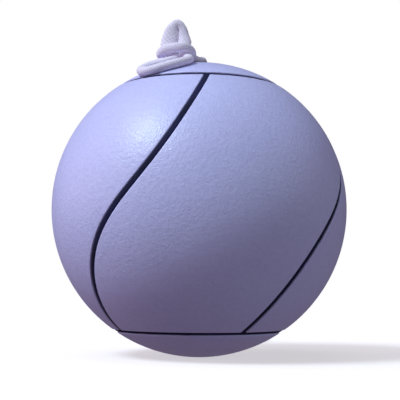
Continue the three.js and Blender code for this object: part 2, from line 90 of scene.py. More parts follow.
def mesh_object(name, points, faces, smooth=True):
    """A mesh from points and faces, where faces are lists of corner numbers."""
    mesh = bpy.data.meshes.new(name)
    mesh.from_pydata([tuple(p) for p in np.asarray(points)], [], [tuple(f) for f in faces])
    mesh.polygons.foreach_set("use_smooth", [smooth] * len(mesh.polygons))
    mesh.update()
    piece = bpy.data.objects.new(name, mesh)
    bpy.context.scene.collection.objects.link(piece)
    return piece


def crease(piece, degrees=35):
    """Shades a piece smooth except where its faces meet at a sharp angle."""
    piece.data.set_sharp_from_angle(angle=math.radians(degrees))


def grid_faces(rows, columns, wrap_rows=False, wrap_columns=False):
    """Faces of a grid of points numbered row by row."""
    down = np.arange(rows if wrap_rows else rows - 1)
    across = np.arange(columns if wrap_columns else columns - 1)
    i, j = np.meshgrid(down, across, indexing="ij")
    below, beside = (i + 1) % rows, (j + 1) % columns
    corners = [i * columns + j, i * columns + beside, below * columns + beside, below * columns + j]
    return np.stack(corners, axis=-1).reshape(-1, 4)


def lathe(name, profile, segments, matrix=None, degrees=35):
    """A closed solid turned about Z from (radius, height) pairs, which end on the axis or join up."""
    rings, points, faces = [], [], []
    angles = np.linspace(0, 2 * math.pi, segments, endpoint=False)
    for radius, height in profile:
        first = len(points)
        if radius < 1e-7:
            points.append((0, 0, height))
            rings.append([first] * segments)
        else:
            points += [(radius * math.cos(a), radius * math.sin(a), height) for a in angles]
            rings.append(list(range(first, first + segments)))
    open_ends = profile[0][0] < 1e-7 and profile[-1][0] < 1e-7
    following = rings[1:] if open_ends else rings[1:] + rings[:1]
    for low, high in zip(rings, following):
        for k in range(segments):
            n = (k + 1) % segments
            face = dict.fromkeys((low[k], low[n], high[n], high[k]))
            if len(face) > 2:
                faces.append(tuple(face))
    points = np.array(points)
    if matrix is not None:
        points = np.array([matrix @ Vector(p) for p in points])
    piece = mesh_object(name, points, faces)
    face_out(piece)
    crease(piece, degrees)
    return piece


def face_out(piece):
    """Turns all faces over if the closed mesh is inside out."""
    mesh = piece.data
    mesh.calc_loop_triangles()
    points = np.empty(len(mesh.vertices) * 3)
    mesh.vertices.foreach_get("co", points)
    corners = np.empty(len(mesh.loop_triangles) * 3, dtype=np.int32)
    mesh.loop_triangles.foreach_get("vertices", corners)
    a, b, c = points.reshape(-1, 3)[corners.reshape(-1, 3)].transpose(1, 0, 2)
    if np.einsum("ij,ij->i", a, np.cross(b, c)).sum() < 0:
        mesh.flip_normals()


def arc(centre, radius, start, end, steps=6):
    """Profile points round an arc, angles in degrees from the radius axis."""
    angles = np.radians(np.linspace(start, end, steps + 1))
    return [(centre[0] + radius * math.cos(a), centre[1] + radius * math.sin(a)) for a in angles]


def combine(piece, other, how):
    """Joins another piece to this one, or cuts it away, and removes the other."""
    step = piece.modifiers.new(how, "BOOLEAN")
    step.operation = how
    step.solver = "EXACT"
    step.object = other
    graph = bpy.context.evaluated_depsgraph_get()
    result = bpy.data.meshes.new_from_object(piece.evaluated_get(graph))
    piece.modifiers.clear()
    result.name = piece.data.name
    piece.data = result
    bpy.data.objects.remove(other, do_unlink=True)
    crease(piece)
    return piece


def rod(name, radius, low, high, matrix, segments=48):
    """A plain round cutter or core along the local Z axis."""
    return lathe(name, [(0, low), (radius, low), (radius, high), (0, high)], segments, matrix)


def along(direction, place=(0, 0, 0)):
    """Matrix that takes +Z to a direction and the origin to a place."""
    turn = Vector(direction).to_track_quat("Z", "Y").to_matrix().to_4x4()
    return Matrix.Translation(Vector(place)) @ turn


# ---------------------------------------------------------------- cords and wires

def smooth_rows(rows, step):
    """Rows of x, y, z and anything else, every step along a centripetal Catmull-Rom curve."""
    rows = np.asarray(rows, float)
    ends = [2 * rows[0] - rows[1], 2 * rows[-1] - rows[-2]]
    p = np.vstack([ends[0], rows, ends[1]])
    gaps = np.sqrt(np.maximum(np.linalg.norm(np.diff(p[:, :3], axis=0), axis=1), 1e-9))
    dense = []
    t = np.linspace(0, 1, 24, endpoint=False)[:, None]
    for i in range(1, len(p) - 2):
        before, here, after = gaps[i - 1], gaps[i], gaps[i + 1]
        slope = (p[i + 1] - p[i]) / here
        m1 = here * ((p[i] - p[i - 1]) / before - (p[i + 1] - p[i - 1]) / (before + here) + slope)
        m2 = here * (slope - (p[i + 2] - p[i]) / (here + after) + (p[i + 2] - p[i + 1]) / after)
        rise = p[i + 1] - p[i]
        dense.append(p[i] + m1 * t + (3 * rise - 2 * m1 - m2) * t**2 + (m1 + m2 - 2 * rise) * t**3)
    dense = np.vstack(dense + [p[-2:-1]])
    run = np.r_[0, np.cumsum(np.linalg.norm(np.diff(dense[:, :3], axis=0), axis=1))]
    count = max(int(round(run[-1] / step)), 2)
    marks = np.linspace(0, run[-1], count + 1)
    return np.stack([np.interp(marks, run, column) for column in dense.T], axis=1), marks


def sections(line, closed=False):
    """Unit side and top vectors of each row: columns 3 to 5 say which way its top faces."""
    if closed:
        tangent = np.roll(line[:, :3], -1, axis=0) - np.roll(line[:, :3], 1, axis=0)
    else:
        tangent = np.gradient(line[:, :3], axis=0)
    tangent /= np.linalg.norm(tangent, axis=1)[:, None]
    top = line[:, 3:6] - tangent * np.einsum("ij,ij->i", line[:, 3:6], tangent)[:, None]
    top /= np.linalg.norm(top, axis=1)[:, None]
    return np.cross(tangent, top), top


CORD = 8.0                          # thickness of the cord, millimetres
BRAID_STRANDS = 10
BRAID_PITCH = 3.4 * MM
BRAID_DEPTH = 0.42 * MM
# Painted shade: the middle of each cut end takes this value on the cord's ramp of painted shade between
# the strands.
CUT_END_HEIGHT = 0.3                # shade of the cord's cut ends, on the strands' 0 to 1


def braid(angle, run):
    """Height of a round braid's strands, 0 to 1, at an angle round the cord and a distance along it."""
    half = BRAID_STRANDS * angle / 2
    climb = math.pi * run / BRAID_PITCH
    left, right = np.cos(half + climb), np.cos(half - climb)
    over = left * right
    rising = np.abs(left) ** 0.6 * (0.55 + 0.45 * over)
    falling = np.abs(right) ** 0.6 * (0.55 - 0.45 * over)
    return np.maximum(rising, falling)


def sweep(line, reach, closed):
    """Points and faces of a tube along rows; reach scales its section, row by row and all round."""
    side, top = sections(line, closed)
    around = reach.shape[1]
    angle = np.linspace(0, 2 * math.pi, around, endpoint=False)
    x = reach * np.cos(angle) * line[:, 6:7] / 2
    y = reach * np.sin(angle) * line[:, 7:8] / 2
    points = line[:, None, :3] + x[..., None] * side[:, None] + y[..., None] * top[:, None]
    points = points.reshape(-1, 3)
    faces = grid_faces(len(line), around, wrap_rows=closed, wrap_columns=True).tolist()
    if not closed:
        points = np.vstack([points, line[:1, :3], line[-1:, :3]])
        last, tip = (len(line) - 1) * around, len(line) * around
        for k in range(around):
            n = (k + 1) % around
            faces.append((tip, n, k))
            faces.append((tip + 1, last + k, last + n))
    return points, faces


def cord_mesh(name, rows, closed=False):
    """A braided cord along rows of x, y, z, top x, top y, top z, width, thickness."""
    step, around = ((0.8 * MM, 50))
    line, run = smooth_rows(rows, step)
    if closed:
        line, run = line[:-1], run[:-1]
        whole = run[-1] + run[1]
        run = run * (round(whole / BRAID_PITCH / 2) * 2 * BRAID_PITCH / whole)
    angle = np.linspace(0, 2 * math.pi, around, endpoint=False)
    height = braid(angle[None, :], run[:, None])
    points, faces = sweep(line, 1 - (1 - height) * BRAID_DEPTH / (CORD * MM / 2), closed)
    piece = mesh_object(name, points, faces)
    face_out(piece)
    # The strands' heights go on the mesh so that the material can paint shade between the strands from
    # them.
    heights = height.reshape(-1)
    if not closed:
        heights = np.r_[heights, CUT_END_HEIGHT, CUT_END_HEIGHT]
    shade = piece.data.attributes.new("strand_shade", "FLOAT", "POINT")
    shade.data.foreach_set("value", heights.astype(np.float32))
    return piece, line[:, :3]


def wire_mesh(name, rows, around, step=0.5 * MM, closed=False):
    """A plain round wire along the same kind of rows."""
    line, _ = smooth_rows(rows, step)
    if closed:
        line = line[:-1]
    piece = mesh_object(name, *sweep(line, np.ones((len(line), around)), closed))
    face_out(piece)
    crease(piece)
    return piece


LIE = 112.8                         # millimetres from the ball's centre to a cord lying on it


def on_ball(x, y, reach=LIE):
    """Millimetre point above x, y at a distance from the ball's centre, on its upper half."""
    return (x, y, CENTRE[2] / MM + math.sqrt(reach**2 - x**2 - y**2))


def out_of_ball(point):
    return tuple(np.array(point) - CENTRE / MM)


KNOT = (-17, -22)                   # where the knot stands up from the ball, in millimetres


def out_of_knot(point):
    return (point[0] - KNOT[0], point[1] - KNOT[1], 0)


def row(point, top, width=CORD, thick=CORD):
    """One row of a cord's route in metres, with its top facing unit-length."""
    top = np.array(top, float) / np.linalg.norm(top)
    return [*(np.array(point) * MM), *top, width * MM, thick * MM]


def bundle_route():
    """The cord from the eye in the cup, through the bundle on top of the ball, to the back of it."""
    rows = [
        row((0.3, 0.6, 209.2), (0.6, 0.75, 0)),
        row((1.8, -0.2, 214.2), (0.6, 0.75, 0.1), 7.6, 7.4),
        row((1.7, -4.6, 218.0), (0.4, 0.4, 0.9), 7.2, 6.6),
        row((-1.4, -10, 217.2), (0.2, 0.2, 1), 7.2, 6.0),
    ]
    lying = [
        (-5.4, -14.8, 3.1), (-10, -21, 3.1), (-15.2, -27.2, 3.2), (-19.6, -33, 3.2), (-24.6, -35.4, 3.3),
        (-30, -34.2, 3.5), (-35.4, -33.6, 3.5), (-39.8, -36, 3.4), (-41.4, -41, 3.4), (-39, -46.8, 3.1),
        (-33.8, -49.8, 3.0), (-27.4, -50.2, 3.0), (-21, -49.6, 3.1), (-15, -47.8, 3.1), (-9.8, -44.2, 3.1),
        (-7.6, -38.8, 3.2),
    ]
    for x, y, lift in lying:
        point = on_ball(x, y, BALL / MM + lift)
        rows.append(row(point, out_of_ball(point), 7.2, 6.5))
    rows += [
        row((-8.6, -33.6, 213.8), (0.3, -0.6, 0.7), 7.0, 5.8),
        row((-10.8, -29.4, 217.2), (0, -1, 0.4), 7.6, 5.2),
        row((-11.6, -27, 221.6), (0, -1, 0), 8.8, 5.2),
        row((-11.2, -25, 227), (0, -1, 0), 10.0, 5.4),
        row((-11.8, -23.2, 232.4), (0, -1, 0), 8.0, 5.6),
        row((-13, -22.2, 237.8), (0, -1, 0), 6.8, 5.8),
        row((-16.4, -22, 241.4), (0, -1, 0), 7.4, 5.8),
        row((-19.8, -22.2, 238), (0, -1, 0), 9.6, 5.8),
        row((-21.2, -22.8, 232.4), (0, -1, 0), 12.2, 5.6),
        row((-22.2, -24.2, 227), (0, -1, 0), 12.8, 5.4),
        row((-22.6, -26.2, 221.6), (0, -1, 0), 12.4, 5.2),
        row((-22.4, -26.8, 217.4), (0, -1, -0.2), 9.6, 5.2),
        row((-20.8, -24.4, 214.8), (0, -0.4, -1), 7.4, 6.2),
        row((-17.4, -18.6, 216), (0, 0, -1), 6.6, 6.2),
        row((-12.4, -16, 216.9), (0.3, 0.4, -0.8), 6.4, 6.0),
    ]
    wrap = [
        (-7.4, -17.4, 217.6), (-5.2, -22.8, 218.4), (-6.6, -29.8, 220), (-11.6, -34, 221), (-18, -34, 221),
        (-25, -31.2, 220.4), (-29.2, -25.2, 218.8), (-28, -17.8, 219.6), (-22.2, -12.6, 221.2),
    ]
    rows += [row(point, out_of_knot(point), 7.2, 5.0) for point in wrap]
    rows += [
        row((-16.6, -8.8, 223.8), (-0.2, 0.6, 0.8), 7.4, 5.8),
        row((-13.8, -3, 224.9), (0, 0.1, 1), 7.8, 6.6),
        row((-13, 2, 222.6), (0, 0.4, 1), 7.8, 7.0),
    ]
    return rows


def run_route():
    """Over the back of the ball, straight down and round to the coil."""
    over = [
        (-13, 6), (-15, 18), (-17, 32), (-18, 48), (-19, 64), (-20, 80), (-20, 93), (-20, 103), (-20, 109),
    ]
    rows = [row(on_ball(x, y), out_of_ball(on_ball(x, y)), 8.2, 7.8) for x, y in over]
    hanging = [(-20, 111.2, 107), (-20, 111.6, 86), (-20, 111.6, 62), (-20, 111.6, 40), (-20, 112, 24)]
    rows += [row(point, (0, 1, 0)) for point in hanging]
    rows.append(row((-20, 117.5, 10), (0, 0.7, 0.7)))
    ground = [(-20, 130, 4.1), (-18, 138, 4.6), (-14.5, 144.8, 5.4), (-8.6, 149.6, 5.6)]
    return rows + [row(point, (0, 0, 1)) for point in ground]


COIL_CENTRE = (0, 204)
COIL_LOW = 5.6                      # centreline of the lower layer
COIL_TURNS = [53, 45, 37, 37, 45]   # radius of each whole turn; the cord goes in, climbs, and comes out
SHIFT = 60                          # degrees over which a turn moves to the next one


def eased(value):
    value = min(max(value, 0), 1)
    return value * value * (3 - 2 * value)


def coil_route():
    """The stored length: three turns inwards on the ground, then two and a quarter outwards on top."""
    rows = []
    radii = COIL_TURNS + [COIL_TURNS[0]]
    climbing = 2
    for turn, radius in enumerate(radii):
        last = turn == len(radii) - 1
        for degrees in range(0, 90 if last else 360, 6):
            reach, height = radius, COIL_LOW + CORD * (turn > climbing)
            if not last:
                reach += (radii[turn + 1] - radius) * eased((degrees - 360 + SHIFT) / SHIFT)
            if turn == climbing:
                height += CORD * eased((degrees - 360 + 2 * SHIFT) / SHIFT)
            angle = math.radians(degrees - 90)
            x, y = COIL_CENTRE[0] + reach * math.cos(angle), COIL_CENTRE[1] + reach * math.sin(angle)
            rows.append(row((x, y, height), (0, 0, 1)))
    return rows


END_Y = 278                         # line on which the snap lies
LEG = 4.3                           # half the spacing of the doubled cord's legs
LEG_Z = 5.7


def tail_route():
    """Off the coil's top turn, down to the ground, through the ferrule and round the snap's ring."""
    tail = [
        (53, 206, 13.4), (53, 218, 13.3), (53, 232.4, 12.8), (53, 240, 11), (53, 248, 7.6), (52, 256, 5.2),
        (48.6, 265, 4.6), (43.4, 271, 5.1), (38, END_Y - LEG - 0.1, 5.6), (34.4, END_Y - LEG, LEG_Z),
    ]
    middle, radius, high = 8.5, 8, 9.4
    slant = radius * math.sqrt(0.5)
    loop = [(26, END_Y - LEG, LEG_Z), (19, END_Y - LEG, LEG_Z), (middle, END_Y - radius, high),
            (middle - slant, END_Y - slant, high), (middle - radius, END_Y, high),
            (middle - slant, END_Y + slant, high), (middle, END_Y + radius, high),
            (19, END_Y + LEG, LEG_Z), (26, END_Y + LEG, LEG_Z), (34.3, END_Y + LEG, LEG_Z)]
    return [row(point, (0, 0, 1)) for point in tail + loop]


def tether_bar_height():
    low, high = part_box("tether_bar")
    return (low[2] + high[2]) / 2


BAR_Z = tether_bar_height()
EYE_RADIUS = 6.8 * MM               # from the bar's axis to the middle of the cord round it


def eye_route():
    """The loop of cord round the tether bar."""
    rows = []
    for degrees in range(0, 361, 15):
        angle = math.radians(degrees)
        out = np.array([0, math.sin(angle), math.cos(angle)])
        point = np.array([0, 0, BAR_Z]) + EYE_RADIUS * out
        rows.append([*point, *out, CORD * MM, CORD * MM])
    return rows


route = bundle_route() + run_route() + coil_route() + tail_route()
tether_cord, cord_line = cord_mesh("tether_cord", route)
tether_loop, _ = cord_mesh("tether_loop", eye_route(), closed=True)


# ---------------------------------------------------------------- ball

PANEL_THICK = 1.6 * MM
CARCASS = 106.1 * MM
CHANNEL = 4 * MM
RIB_HALF = 1.62 * MM                # half width of the black rib that fills a channel
RIB_TOP = 107.45 * MM               # its crown, from the ball's centre
RIB_FOOT = 105.4 * MM
RIB_ROUND = 0.35 * MM
RIB_CROWN = 0.25 * MM               # the crown is this much higher than its edges
CAP_ANGLE = math.radians(34.4)
SEAM_START = math.radians(-28.3)
SEAM_LEAN = 0.454
SEAM_SWING = math.radians(7.9)
SEAM_SWING_LATITUDE = math.radians(18)
EDGE_ROUND = 0.7 * MM               # radius on the panels' edges
EDGE_SAG = 0.1 * MM                 # the cover draws down a little towards each channel
EDGE_SAG_REACH = 3.5 * MM
CUP_HOLE = 17.4 * MM
VALVE_LONGITUDE = math.radians(107)
VALVE_PANEL = 1
VALVE_HEAD_HOLE = 6.3 * MM
VALVE_BOOT_HOLE = 4.9 * MM
PANEL_STEP = 2.4 * MM
ROUND_SEGMENTS = 240
SHELL_SEGMENTS = 120
SHELL_STEPS = 60


def seam(latitude):
    return SEAM_START + SEAM_LEAN * latitude + SEAM_SWING * np.tanh(latitude / SEAM_SWING_LATITUDE)


def seam_stretch(latitude):
    """Longitude covered by a unit of width square to the slanting seam, times the ball's radius."""
    swing = SEAM_SWING / SEAM_SWING_LATITUDE / np.cosh(latitude / SEAM_SWING_LATITUDE) ** 2
    slope = (SEAM_LEAN + swing) * np.cos(latitude)
    return np.hypot(1, slope) / np.cos(latitude)


def direction(longitude, latitude):
    """Unit vector at a longitude, from -Y towards +X, and a latitude."""
    flat = np.cos(latitude)
    return np.stack([np.sin(longitude) * flat, -np.cos(longitude) * flat, np.sin(latitude)], axis=-1)


def edge_drop(distance):
    """How far the panel's face is below the ball's surface at a distance from the panel's edge."""
    inside = np.clip(EDGE_ROUND - np.maximum(distance, 0), 0, None)
    rounding = EDGE_ROUND - np.sqrt(np.maximum(EDGE_ROUND**2 - inside**2, 0))
    return rounding + EDGE_SAG * np.exp(-np.maximum(distance, 0) / EDGE_SAG_REACH)


def spread_marks(length):
    """Marks from 0 to length, close together near both ends."""
    near = np.array([0, 0.08, 0.2, 0.36, 0.56, 0.8, 1.2, 1.9, 3]) * MM
    middle = np.linspace(near[-1], length - near[-1], max(int(length / PANEL_STEP), 4))
    return np.r_[near[:-1], middle, (length - near[:-1])[::-1]]


def side_panel(name, turn):
    """One white side panel between two S-shaped channels."""
    top = math.pi / 2 - CAP_ANGLE - CHANNEL / 2 / BALL
    down = spread_marks(2 * top * BALL)
    across = spread_marks(math.pi / 2 * BALL) / (math.pi / 2 * BALL)
    latitude = (down / BALL - top)[:, None]
    half = CHANNEL / 2 / BALL * seam_stretch(latitude)
    left, right = seam(latitude) + half, seam(latitude) + math.pi / 2 - half
    longitude = left + (right - left) * across[None, :]
    width = BALL / seam_stretch(latitude)
    distances = [(longitude - left) * width, (right - longitude) * width]
    distances += [(top + latitude) * BALL + 0 * longitude, (top - latitude) * BALL + 0 * longitude]
    outer_radius = BALL - edge_drop(np.minimum.reduce(distances))
    facing = direction(longitude + turn, latitude + 0 * longitude)
    outer = CENTRE + facing * outer_radius[..., None]
    inner = CENTRE + facing * (BALL - PANEL_THICK)
    rows, columns = longitude.shape
    count = rows * columns
    face = grid_faces(rows, columns)
    numbers = np.arange(count).reshape(rows, columns)
    rim = np.r_[numbers[0], numbers[1:, -1], numbers[-1, -2::-1], numbers[-2:0:-1, 0]]
    following = np.roll(rim, -1)
    wall = np.stack([rim, rim + count, following + count, following], axis=-1)
    faces = np.vstack([face, face[:, ::-1] + count, wall])
    piece = mesh_object(name, np.vstack([outer.reshape(-1, 3), inner.reshape(-1, 3)]), faces.tolist())
    face_out(piece)
    crease(piece, 50)
    return piece


def cap_panel(name, start, upside_down=False):
    """One round end panel, from a polar angle, or a flat patch on the axis, to the seam."""
    end = CAP_ANGLE - CHANNEL / 2 / BALL
    marks = start + spread_marks((end - start) * BALL) / BALL
    distance = (end - marks) * BALL
    if not upside_down:
        distance = np.minimum(distance, (marks - start) * BALL)
    outer = BALL - edge_drop(distance)
    profile = list(zip(outer * np.sin(marks), outer * np.cos(marks)))
    inner = BALL - PANEL_THICK
    profile += [(inner * math.sin(a), inner * math.cos(a)) for a in marks[::-6]]
    if upside_down:
        profile[0] = (PATCH, CENTRE[2])
        profile = [(0, CENTRE[2])] + profile + [(0, inner)]
    turn = Matrix.Rotation(math.pi, 4, "X") if upside_down else Matrix()
    return lathe(name, profile, ROUND_SEGMENTS, Matrix.Translation(CENTRE) @ turn, 50)


def bowl_profile(radius, hole):
    """(radius, height) pairs up a sphere from the bottom of its axis to a hole round its top."""
    angles = np.linspace(math.pi, math.asin(hole / radius), SHELL_STEPS)[1:]
    return [(0, -radius)] + [(radius * math.sin(a), radius * math.cos(a)) for a in angles]


def shell(name, outer, thick, hole):
    """A hollow layer of the ball, open at the tether cup."""
    profile = bowl_profile(outer, hole) + bowl_profile(outer - thick, hole)[::-1]
    return lathe(name, profile, SHELL_SEGMENTS, Matrix.Translation(CENTRE))


valve_axis = direction(VALVE_LONGITUDE, 0.0)
valve_frame = along(valve_axis, CENTRE)


def valve_cutter(radius):
    return rod("cutter", radius, BALL - 30 * MM, BALL + 5 * MM, valve_frame)


side_panels = []
for k in range(4):
    panel = side_panel(f"side_cover_{k + 1}", k * math.pi / 2)
    if k == VALVE_PANEL:
        combine(panel, valve_cutter(VALVE_HEAD_HOLE), "DIFFERENCE")
    side_panels.append(panel)
top_cap = cap_panel("top_cover", math.asin(CUP_HOLE / BALL))
bottom_cap = cap_panel("bottom_cover", math.asin(PATCH / BALL), upside_down=True)


def rib_profile():
    """Across a rib: (sideways, radius) pairs over its crowned top, then under its foot."""
    marks = np.linspace(-1, 1, 9) * (RIB_HALF - RIB_ROUND)
    top = [(x, RIB_TOP - RIB_CROWN * (x / RIB_HALF) ** 2) for x in marks]
    side = [
        (RIB_HALF - 0.1 * MM, RIB_TOP - 0.32 * MM), (RIB_HALF, RIB_TOP - 0.55 * MM), (RIB_HALF, RIB_FOOT),
    ]
    return [(-x, r) for x, r in side[::-1]] + top + side


def side_ribs():
    """The four S-shaped ribs under the side seams."""
    profile = np.array(rib_profile())
    count = 180
    latitude = np.linspace(-1, 1, count)[:, None] * (math.pi / 2 - CAP_ANGLE - RIB_HALF / BALL)
    longitude = seam(latitude) + profile[:, 0] / BALL * seam_stretch(latitude)
    points, faces = [], []
    for turn in range(4):
        facing = direction(longitude + turn * math.pi / 2, latitude + 0 * longitude)
        first = len(points) * count * len(profile)
        points.append((CENTRE + facing * profile[:, 1][:, None]).reshape(-1, 3))
        faces += (grid_faces(count, len(profile), wrap_columns=True) + first).tolist()
        faces.append(list(range(first, first + len(profile))))
        last = first + (count - 1) * len(profile)
        faces.append(list(range(last + len(profile) - 1, last - 1, -1)))
    piece = mesh_object("seam_ribs", np.vstack(points), faces)
    face_out(piece)
    crease(piece)
    return piece


def ring_rib(name, angle):
    """The ring under the seam round one end panel."""
    turned = [(angle + x / BALL, radius) for x, radius in rib_profile()]
    profile = [(radius * math.sin(a), radius * math.cos(a)) for a, radius in turned]
    return lathe(name, profile, ROUND_SEGMENTS, Matrix.Translation(CENTRE))


ribs = [side_ribs(), ring_rib("top_rib", CAP_ANGLE), ring_rib("bottom_rib", math.pi - CAP_ANGLE)]
carcass = shell("carcass_shell", CARCASS, 1.5 * MM, CUP_HOLE)
combine(carcass, valve_cutter(VALVE_BOOT_HOLE), "DIFFERENCE")
winding = shell("winding_shell", 104.3 * MM, 0.7 * MM, CUP_HOLE)
combine(winding, valve_cutter(VALVE_BOOT_HOLE), "DIFFERENCE")


def bladder_profile(radius, pocket, floor):
    """A sphere dented by a pocket, rounded at its foot, that goes down to the floor's height."""
    foot = 4 * MM
    return bowl_profile(radius, pocket) + arc((pocket - foot, floor + foot), foot, 0, -90) + [(0, floor)]


def make_bladder():
    """A hollow sphere with a pocket for the cup."""
    outer, thick, pocket = 103.3 * MM, 0.9 * MM, 18 * MM
    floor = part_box("tether_cup")[0][2] - CENTRE[2] - 1 * MM
    place = Matrix.Translation(CENTRE)
    piece = lathe("bladder_shell", bladder_profile(outer, pocket, floor), SHELL_SEGMENTS, place)
    inside = bladder_profile(outer - thick, pocket + thick, floor - thick)
    combine(piece, lathe("cutter", inside, SHELL_SEGMENTS, place), "DIFFERENCE")
    return combine(piece, valve_cutter(VALVE_BOOT_HOLE), "DIFFERENCE")


bladder = make_bladder()


def make_cup():
    """The recessed rubber cup, with a rounded lip and floor and a hole through it for the bar."""
    low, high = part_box("tether_cup")
    bottom, rim = low[2], high[2]
    outer, inner, floor = 17 * MM, 14 * MM, bottom + 2.5 * MM
    profile = [(0, bottom), (outer - 3 * MM, bottom)]
    profile += arc((outer - 3 * MM, bottom + 3 * MM), 3 * MM, -90, 0)[1:]
    profile += arc((outer - 1.4 * MM, rim - 1.4 * MM), 1.4 * MM, 0, 90)
    profile += arc((inner + 1.4 * MM, rim - 1.4 * MM), 1.4 * MM, 90, 180)
    profile += arc((inner - 3 * MM, floor + 3 * MM), 3 * MM, 0, -90)
    profile += [(0, floor)]
    cup = lathe("recess_cup", profile, 96)
    hole = rod("cutter", 2.7 * MM, -20 * MM, 20 * MM, along((1, 0, 0), (0, 0, BAR_Z)))
    return combine(cup, hole, "DIFFERENCE")


recess_cup = make_cup()


def make_bar():
    length, radius, chamfer = 33 * MM, 2.5 * MM, 0.5 * MM
    profile = [(0, -length / 2), (radius - chamfer, -length / 2), (radius, -length / 2 + chamfer)]
    shaft = length / 2 - 2 * chamfer
    profile += [(radius, z) for z in np.linspace(-shaft, shaft, 12)]
    profile += [(radius, length / 2 - chamfer), (radius - chamfer, length / 2), (0, length / 2)]
    return lathe("cross_bar", profile, 64, along((1, 0, 0), (0, 0, BAR_Z)))


cross_bar = make_bar()


def make_valve():
    """The rubber boot in the bladder's hole and the plug that takes the pump's needle."""
    far, near = BALL - 13 * MM, BALL - 2.8 * MM
    boot_profile = arc((4.2 * MM, far + 0.4 * MM), 0.4 * MM, -90, 0)
    boot_profile += arc((4.2 * MM, near - 0.4 * MM), 0.4 * MM, 0, 90)
    boot_profile += [(2.9 * MM, near), (2.9 * MM, far)]
    boot = lathe("valve_sleeve", boot_profile, 64, valve_frame)
    top = BALL - 0.4 * MM
    profile = [(0.5 * MM, top - 0.9 * MM), (1.3 * MM, top - 0.5 * MM), (2.4 * MM, top - 0.35 * MM)]
    profile += [(2.7 * MM, top)]
    profile += arc((5.3 * MM, top - 0.7 * MM), 0.7 * MM, 90, 0)
    profile += [(6 * MM, top - 1.4 * MM), (2.6 * MM, top - 2 * MM)]
    profile += arc((2 * MM, far + 0.6 * MM), 0.6 * MM, 0, -90) + [(0.5 * MM, far)]
    return boot, lathe("needle_plug", profile, 64, valve_frame)


valve_sleeve, needle_plug = make_valve()


# ---------------------------------------------------------------- coil ties and ferrule

def strap(name, angle, centres):
    """A woven strap round the coil: it hugs the turns whose centres, (radius, height), are given."""
    centres = np.array(centres)
    turns = np.linspace(0, 2 * math.pi, 96, endpoint=False) - 0.5 * math.pi
    facing = np.stack([np.cos(turns), np.sin(turns)], axis=1)
    held = centres[np.argmax(facing @ centres.T, axis=1)]
    gap, thick, half = 4.25, 1.1, 6.0
    lap_height, lap_reach = 1.05, 0.9
    lap = lap_height * np.clip(1 - np.abs((turns - 0.5 * math.pi) / lap_reach) ** 4, 0, 1) ** 0.5
    section = [
        (0, -half), (0, half), (0.3, half), (thick - 0.3, half), (thick, half - 0.3),
        (thick, -half + 0.3), (thick - 0.3, -half), (0.3, -half),
    ]
    points = []
    out = np.array([math.cos(angle), math.sin(angle), 0])
    side = np.array([-math.sin(angle), math.cos(angle), 0])
    place = np.array([*COIL_CENTRE, 0])
    for spot, face, extra in zip(held, facing, lap):
        for depth, across in section:
            reach = spot + face * (gap + depth * (1 + extra / thick))
            points.append((place + out * reach[0] + side * across + np.array([0, 0, reach[1]])) * MM)
    faces = grid_faces(len(turns), len(section), wrap_rows=True, wrap_columns=True)
    piece = mesh_object(name, points, faces.tolist())
    face_out(piece)
    crease(piece)
    return piece


low_layer = [(radius, COIL_LOW) for radius in (37, 45, 53)]
top_layer = [(radius, COIL_LOW + CORD) for radius in (37, 45, 53)]
strap_1 = strap("strap_1", math.radians(150), low_layer + top_layer[:2])
strap_2 = strap("strap_2", math.radians(330), low_layer + top_layer)


FERRULE_START = 20                  # all in millimetres
FERRULE_LENGTH = 13
FERRULE_BORE = 4.35


def make_ferrule():
    """A crimped oval sleeve over the two legs of the doubled cord."""
    bite = [0, 0.35, 0.9, 3.0, 3.9, 4.8, 6.5, 8.2, 9.1, 10.0, 12.1, 12.65, FERRULE_LENGTH]
    swell = [5.0, 5.35, 5.5, 5.5, 4.95, 5.5, 5.5, 5.5, 4.95, 5.5, 5.5, 5.35, 5.0]
    marks = np.linspace(0, FERRULE_LENGTH, 60)
    bore = np.linspace(FERRULE_LENGTH, 0, 8)
    radii = np.r_[np.interp(marks, bite, swell), np.full(len(bore), FERRULE_BORE)]
    places = np.r_[marks, bore]
    turns = np.linspace(0, 2 * math.pi, 72, endpoint=False)
    points = []
    for x, radius in zip(places, radii):
        for turn in turns:
            shift = LEG if math.cos(turn) > 0 else -LEG
            across, up = radius * math.cos(turn), radius * math.sin(turn)
            points.append((FERRULE_START + x, END_Y + shift + across, LEG_Z + up))
    faces = grid_faces(len(places), len(turns), wrap_rows=True, wrap_columns=True)
    piece = mesh_object("crimp_sleeve", np.array(points) * MM, faces.tolist())
    face_out(piece)
    crease(piece, 40)
    return piece


crimp_sleeve = make_ferrule()


# ---------------------------------------------------------------- swivel bolt snap

snap_turn = next(joint for joint in frame["joints"] if joint["name"] == "snap_turn")
u_axis = Vector(snap_turn["axis"]).normalized()
v_axis = Vector((0, -1, 0))
w_axis = u_axis.cross(v_axis)
snap_frame = Matrix.Translation(Vector(snap_turn["pos_m"])) @ Matrix(
    [[u_axis[i], v_axis[i], w_axis[i], 0] for i in range(3)] + [[0, 0, 0, 1]]
)
snap_lathe = snap_frame @ Matrix.Rotation(math.pi / 2, 4, "Y")


def snap_rows(points, width, top=(0, 0, 1)):
    """Route rows in the snap's own millimetre frame."""
    turn = snap_frame.to_3x3()
    return [
        [*(snap_frame @ (Vector(p) * MM)), *(turn @ Vector(top)), size * MM, size * MM]
        for p, size in zip(points, width)
    ]


def snap_rod(name, profile, segments=64):
    """A part turned about the snap's long axis from (radius, distance) pairs in millimetres."""
    return lathe(name, [(r * MM, u * MM) for r, u in profile], segments, snap_lathe)


